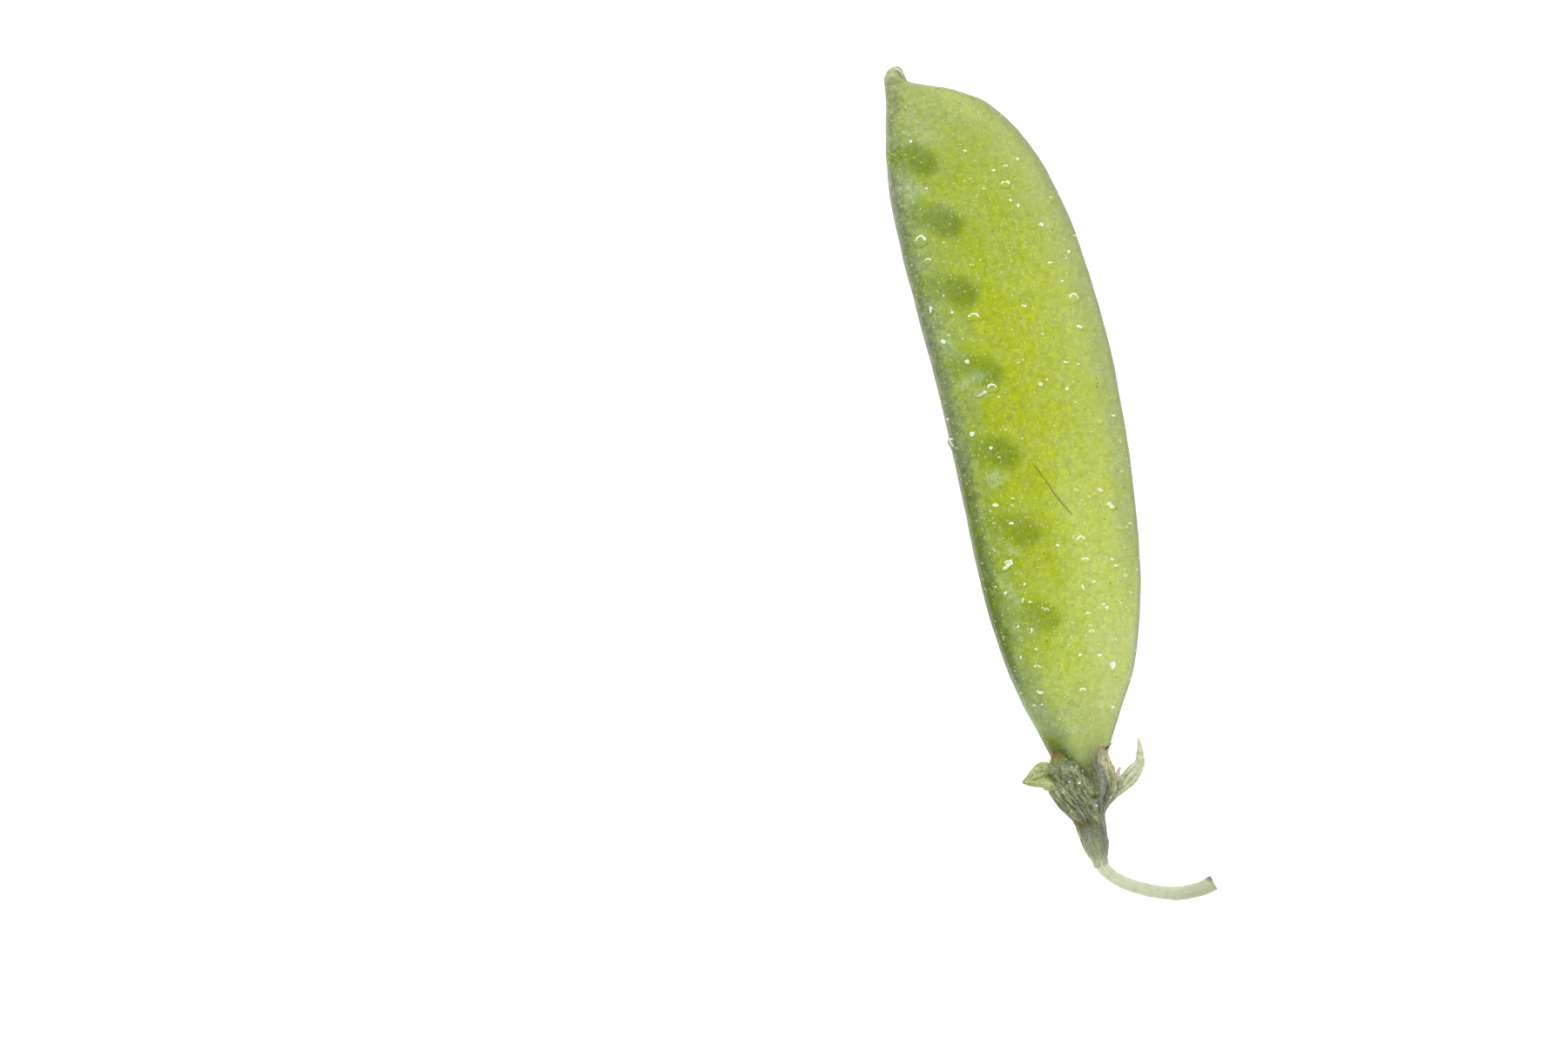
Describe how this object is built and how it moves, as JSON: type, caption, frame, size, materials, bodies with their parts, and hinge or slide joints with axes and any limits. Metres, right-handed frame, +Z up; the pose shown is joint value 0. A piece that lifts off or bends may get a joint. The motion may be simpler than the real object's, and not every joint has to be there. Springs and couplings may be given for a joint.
{
  "type": "snow pea pod",
  "caption": "Flat green pea pod lying on its side, hollow with small young peas in a row, a withered calyx round its neck and a short curved cut stalk.",
  "frame": {"origin": "middle of the footprint, on the surface the pod lies on", "axes": "+Y along the pod from the calyx to the beak, +X across the pod from the seed-bearing seam to the back seam, +Z up through the pod's thickness"},
  "size_m": [0.0214, 0.0959, 0.0052],
  "materials": {
    "pod_skin": "smooth waxy plant skin, satin",
    "pea_skin": "smooth moist plant skin",
    "calyx_green": "wrinkled, matt, drying leaf",
    "stalk_green": "smooth satin plant skin",
    "dried_brown": "dry and papery"
  },
  "bodies": {
    "root": {"pod_wall": "pod_skin", "pea_1": "pea_skin", "pea_2": "pea_skin", "pea_3": "pea_skin", "pea_4": "pea_skin", "pea_5": "pea_skin", "pea_6": "pea_skin", "pea_7": "pea_skin", "calyx_cup": "calyx_green", "sepal_left": "calyx_green", "sepal_front_left": "calyx_green", "sepal_front_right": "calyx_green", "sepal_right": "calyx_green", "sepal_under": "calyx_green", "stalk": "stalk_green", "stamen_shred_1": "dried_brown", "stamen_shred_2": "dried_brown"}
  },
  "joints": []
}
